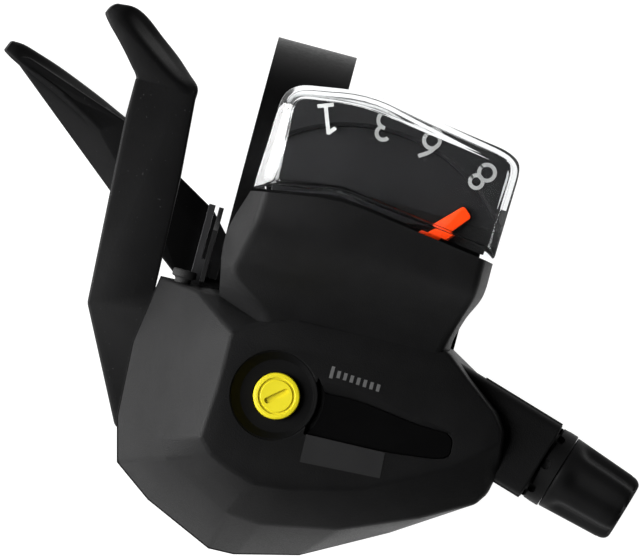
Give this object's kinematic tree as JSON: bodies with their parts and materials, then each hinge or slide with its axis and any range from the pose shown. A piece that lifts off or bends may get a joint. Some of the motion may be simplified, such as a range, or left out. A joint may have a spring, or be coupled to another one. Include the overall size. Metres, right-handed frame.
{
  "type": "bicycle trigger shifter",
  "caption": "Right-hand handlebar trigger shifter with clamp band, thumb levers, clear gear window with a needle, and a barrel adjuster at the cable exit.",
  "frame": {"origin": "centre of the handlebar clamp's bore", "axes": "+X outboard along the handlebar, +Y forward away from the rider, +Z out of the pod's top face"},
  "size_m": [0.0901, 0.0634, 0.0491],
  "materials": {
    "housing_plastic": "fine-textured moulded black",
    "lever_finish": "satin black",
    "coated_metal": "black coated",
    "gloss_trim": "polished black",
    "dial_plastic": "printed dark grey",
    "clear_window": "clear moulded",
    "needle_plastic": "moulded orange-red",
    "yellow_plastic": "moulded yellow",
    "adjuster_plastic": "moulded black",
    "white_plastic": "acetal",
    "inner_plastic": "glass-filled nylon",
    "soft_rubber": "soft plug",
    "black_plate": "black plated",
    "plate_steel": "zinc plated",
    "bolt_steel": "plated",
    "spring_steel": "oiled wire",
    "washer_brass": "rolled"
  },
  "bodies": {
    "housing": {"clamp_band": "coated_metal", "clamp_bolt": "bolt_steel", "clamp_nut": "bolt_steel", "base_plate": "black_plate", "bracket_screws": "bolt_steel", "main_housing": "housing_plastic", "top_cover": "housing_plastic", "bottom_cover": "housing_plastic", "cover_screws": "bolt_steel", "port_plug": "soft_rubber", "display_window": "clear_window", "dial_plate": "dial_plastic", "axle_cap": "yellow_plastic", "trim_insert": "gloss_trim", "main_axle": "plate_steel", "axle_screw": "bolt_steel", "axle_washers": "washer_brass", "axle_clip": "bolt_steel", "idler_pin": "bolt_steel", "pull_lever_spring": "spring_steel", "release_lever_spring": "spring_steel", "pawl_spring": "spring_steel"},
    "spool": {"cable_spool": "inner_plastic", "ratchet_wheel": "plate_steel", "indicator_drive_gear": "white_plastic", "spool_spring": "spring_steel"},
    "idler": {"idler_gear": "white_plastic"},
    "pointer": {"needle": "needle_plastic", "needle_shaft": "bolt_steel", "needle_gear": "white_plastic"},
    "pull_lever": {"pull_lever": "lever_finish", "pull_sleeve": "plate_steel", "drive_pawl_pin": "bolt_steel"},
    "release_lever": {"release_lever": "lever_finish"},
    "drive_pawl": {"drive_pawl": "plate_steel"},
    "holding_pawl": {"holding_pawl": "plate_steel", "holding_pawl_shaft": "bolt_steel"},
    "detent_ring": {"detent_ring": "adjuster_plastic"},
    "adjuster": {"barrel_adjuster": "adjuster_plastic"}
  },
  "joints": [
    {"name": "spool_index", "type": "hinge", "parent": "housing", "child": "spool", "pos_m": [-0.0062, 0.0293, -0.001], "axis": [0, 0, 1], "range_deg": [0, 105]},
    {"name": "idler_spin", "type": "hinge", "parent": "housing", "child": "idler", "pos_m": [-0.01239, 0.02497, 0.0036], "axis": [0, 0, 1], "range_deg": [-160, 2]},
    {"name": "needle_sweep", "type": "hinge", "parent": "housing", "child": "pointer", "pos_m": [-0.011, 0.0145, 0.0036], "axis": [0, 0, 1], "range_deg": [-2, 65]},
    {"name": "pull_lever_swing", "type": "hinge", "parent": "housing", "child": "pull_lever", "pos_m": [-0.0062, 0.0293, -0.0215], "axis": [0, 0, 1], "range_deg": [0, 50], "stiffness_Nm_per_rad": 0.08, "springref_deg": -20.05},
    {"name": "drive_pawl_tip", "type": "hinge", "parent": "pull_lever", "child": "drive_pawl", "pos_m": [-0.01837, 0.03256, -0.006], "axis": [0, 0, 1], "range_deg": [-10, 0], "stiffness_Nm_per_rad": 0.0005, "springref_deg": 22.92},
    {"name": "release_lever_swing", "type": "hinge", "parent": "housing", "child": "release_lever", "pos_m": [-0.0062, 0.0293, -0.014], "axis": [0, 0, 1], "range_deg": [0, 18], "stiffness_Nm_per_rad": 0.08, "springref_deg": -20.05},
    {"name": "holding_pawl_lift", "type": "hinge", "parent": "housing", "child": "holding_pawl", "pos_m": [-0.0185, 0.0379, -0.006], "axis": [0, 0, 1], "range_deg": [-0.5, 11.5]},
    {"name": "adjuster_travel", "type": "slide", "parent": "housing", "child": "detent_ring", "axis": [-0.9588, 0.284, 0], "range_m": [0, 0.0024]},
    {"name": "adjuster_turn", "type": "hinge", "parent": "detent_ring", "child": "adjuster", "pos_m": [-0.04745, 0.03088, -0.001], "axis": [-0.9588, 0.284, 0], "range_deg": [-4, 1084]}
  ],
  "couplings": [
    {"joint": "idler_spin", "follows": "spool_index", "ratio": -1.5},
    {"joint": "needle_sweep", "follows": "spool_index", "ratio": 0.6},
    {"joint": "holding_pawl_lift", "follows": "release_lever_swing", "ratio": 0.6},
    {"joint": "adjuster_turn", "follows": "adjuster_travel", "rad_per_m": 7854}
  ]
}
